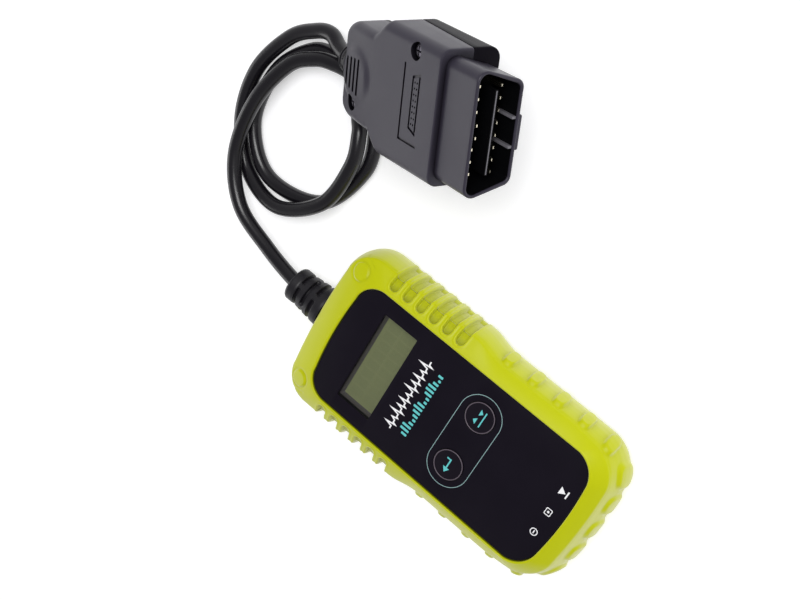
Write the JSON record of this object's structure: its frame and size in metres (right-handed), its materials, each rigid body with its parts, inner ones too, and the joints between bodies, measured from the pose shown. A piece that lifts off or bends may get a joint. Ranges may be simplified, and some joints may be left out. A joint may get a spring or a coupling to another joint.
{
  "type": "vehicle code reader",
  "caption": "Handheld vehicle diagnostic code reader: keypad unit with a small display in a rubber boot, coiled cable and a diagnostic plug.",
  "frame": {"origin": "centre of the label on the reader's flat back, on the plane the reader rests on", "axes": "+Z out of the front panel, +Y along the reader towards its cable, +X to the right when the panel is read with the cable at the top"},
  "size_m": [0.1602, 0.2093, 0.0644],
  "materials": {
    "boot_rubber": "satin",
    "shell_black": "satin",
    "panel_film": "satin",
    "window": "gloss",
    "lcd_glass": "gloss",
    "tin_plate": "satin",
    "circuit_board": "satin",
    "chip_black": "matte",
    "capacitor": "satin",
    "key_rubber": "satin",
    "plunger_plastic": "matte",
    "header_plastic": "matte",
    "wire": "satin",
    "cable_jacket": "satin",
    "relief_rubber": "satin",
    "screw_steel": "satin",
    "label": "satin",
    "plug_plastic": "satin",
    "connector_plastic": "satin",
    "contact_metal": "gloss"
  },
  "bodies": {
    "reader": {"rubber_boot": "boot_rubber", "front_shell": "shell_black", "rear_shell": "shell_black", "front_overlay": "panel_film", "display_window": "window", "lcd_glass": "lcd_glass", "lcd_frame": "tin_plate", "lcd_board": "circuit_board", "lcd_header": "chip_black", "main_board": "circuit_board", "switch_bodies": "chip_black", "microcontroller": "chip_black", "bus_transceiver": "chip_black", "capacitors": "capacitor", "crystal": "tin_plate", "voltage_regulator": "chip_black", "cable_header": "header_plastic", "harness_leads": "wire", "cable_entry": "cable_jacket", "cable_tie": "header_plastic", "reader_strain_relief": "relief_rubber", "shell_screws": "screw_steel", "board_screws": "screw_steel", "rear_label": "label"},
    "left_key_body": {"left_key": "key_rubber"},
    "right_key_body": {"right_key": "key_rubber"},
    "left_switch": {"left_plunger": "plunger_plastic"},
    "right_switch": {"right_plunger": "plunger_plastic"},
    "cable_run": {"cable": "cable_jacket"},
    "plug": {"plug_upper_shell": "plug_plastic", "plug_lower_shell": "plug_plastic", "connector_insert": "connector_plastic", "contact_pins": "contact_metal", "plug_leads": "wire", "plug_cable_entry": "cable_jacket", "plug_strain_relief": "relief_rubber", "plug_screws": "screw_steel"}
  },
  "joints": [
    {"name": "left_key_press", "type": "slide", "parent": "reader", "child": "left_key_body", "axis": [0, 0, -1], "range_m": [0, 0.00035], "stiffness_N_per_m": 4000},
    {"name": "left_switch_press", "type": "slide", "parent": "reader", "child": "left_switch", "axis": [0, 0, -1], "range_m": [0, 0.00035], "stiffness_N_per_m": 4000},
    {"name": "right_key_press", "type": "slide", "parent": "reader", "child": "right_key_body", "axis": [0, 0, -1], "range_m": [0, 0.00035], "stiffness_N_per_m": 4000},
    {"name": "right_switch_press", "type": "slide", "parent": "reader", "child": "right_switch", "axis": [0, 0, -1], "range_m": [0, 0.00035], "stiffness_N_per_m": 4000},
    {"name": "cable_sway", "type": "hinge", "parent": "reader", "child": "cable_run", "pos_m": [0, 0.069, 0.0115], "axis": [0, 0, 1], "range_deg": [-8, 8]},
    {"name": "plug_swivel", "type": "hinge", "parent": "cable_run", "child": "plug", "pos_m": [0.08633, 0.09916, 0.016], "axis": [-0.304, 0.3947, 0.8671], "range_deg": [-6, 8]}
  ],
  "couplings": [
    {"joint": "left_switch_press", "follows": "left_key_press", "ratio": 1},
    {"joint": "right_switch_press", "follows": "right_key_press", "ratio": 1}
  ]
}
